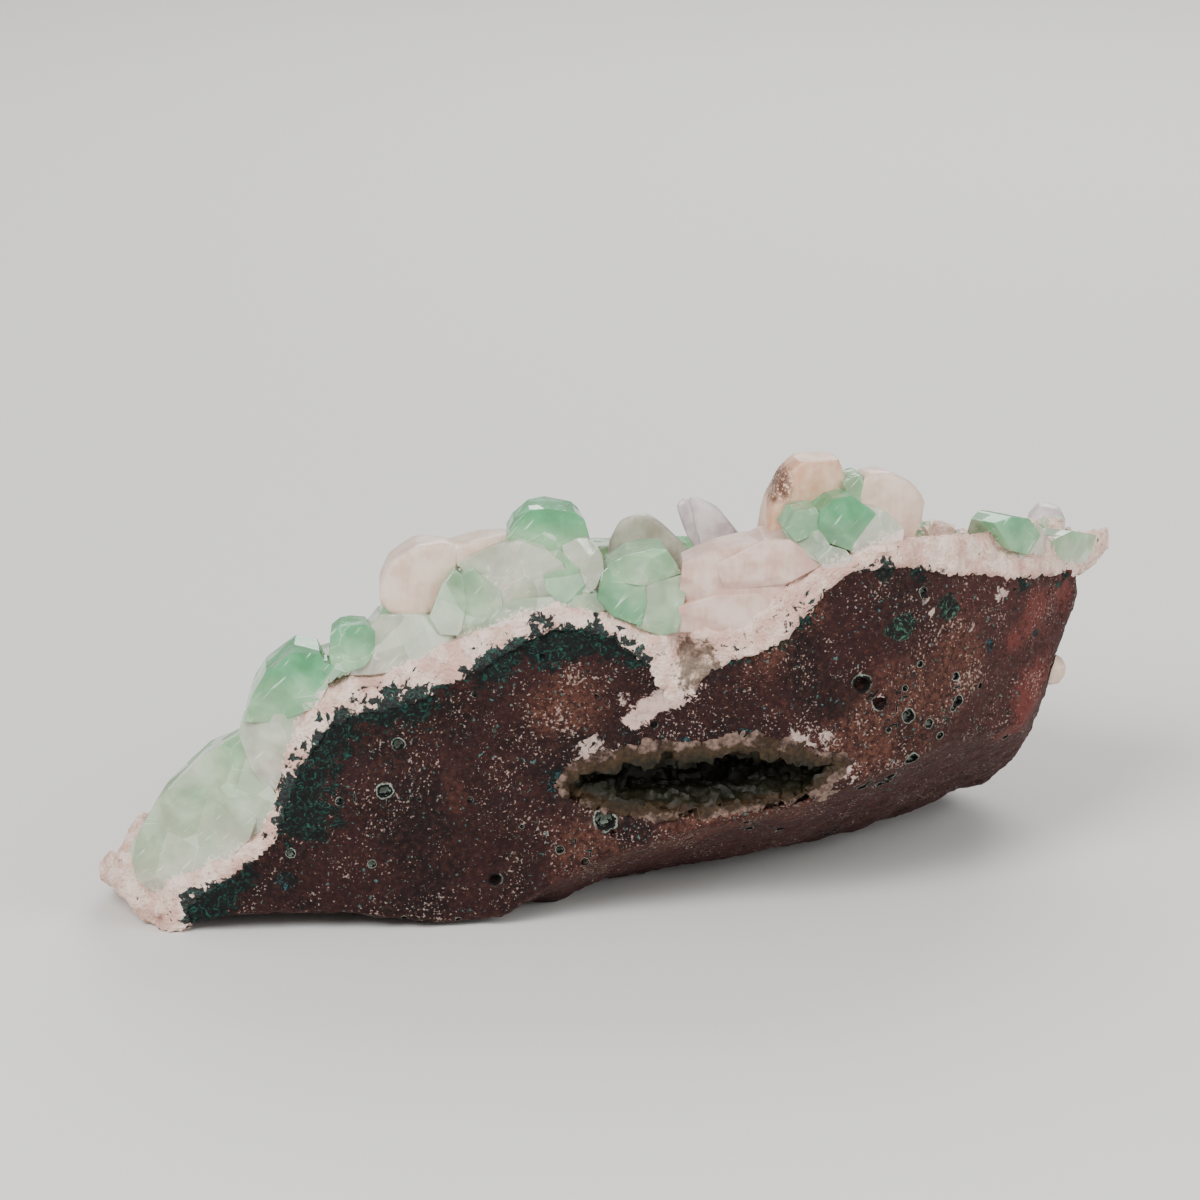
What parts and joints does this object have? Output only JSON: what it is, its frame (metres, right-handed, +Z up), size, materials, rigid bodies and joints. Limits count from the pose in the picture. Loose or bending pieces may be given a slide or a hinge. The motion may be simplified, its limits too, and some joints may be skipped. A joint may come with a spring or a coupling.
{
  "type": "apophyllite cluster",
  "caption": "Apophyllite cluster: mint green crystals and cream stilbite blades on a pink crust over a chunk of vesicular basalt with an open vug.",
  "frame": {"origin": "centre of the bounding box in plan, on the flat base that the specimen rests on", "axes": "+X along the broken basalt face towards its high end, -Y out of the broken face, +Z up"},
  "size_m": [0.165, 0.102, 0.0739],
  "materials": {
    "basalt": "rough",
    "crust": "rough",
    "vug": "rough",
    "apophyllite": "gloss",
    "stilbite": "satin"
  },
  "bodies": {
    "root": {"basalt_matrix": "basalt", "crust": "crust", "vug_lining": "vug", "apophyllite_left_mass": "apophyllite", "apophyllite_mint_block": "apophyllite", "apophyllite_centre": "apophyllite", "apophyllite_faceted": "apophyllite", "apophyllite_right_mass": "apophyllite", "apophyllite_right_edge": "apophyllite", "apophyllite_mid_left": "apophyllite", "apophyllite_mid_centre": "apophyllite", "apophyllite_mid_right": "apophyllite", "apophyllite_back_left": "apophyllite", "apophyllite_back_centre": "apophyllite", "apophyllite_back_right": "apophyllite", "apophyllite_left_back": "apophyllite", "stilbite_left_blade": "stilbite", "stilbite_grey_knob": "stilbite", "stilbite_slanting_blade": "stilbite", "stilbite_broad_mass": "stilbite", "stilbite_tall_blade": "stilbite", "stilbite_right_blade": "stilbite", "stilbite_mid_fan": "stilbite", "stilbite_right_fan": "stilbite", "stilbite_back_fan": "stilbite", "stilbite_back_edge": "stilbite", "stilbite_back_right": "stilbite", "stilbite_end_knob": "stilbite", "side_knob": "stilbite"}
  },
  "joints": []
}
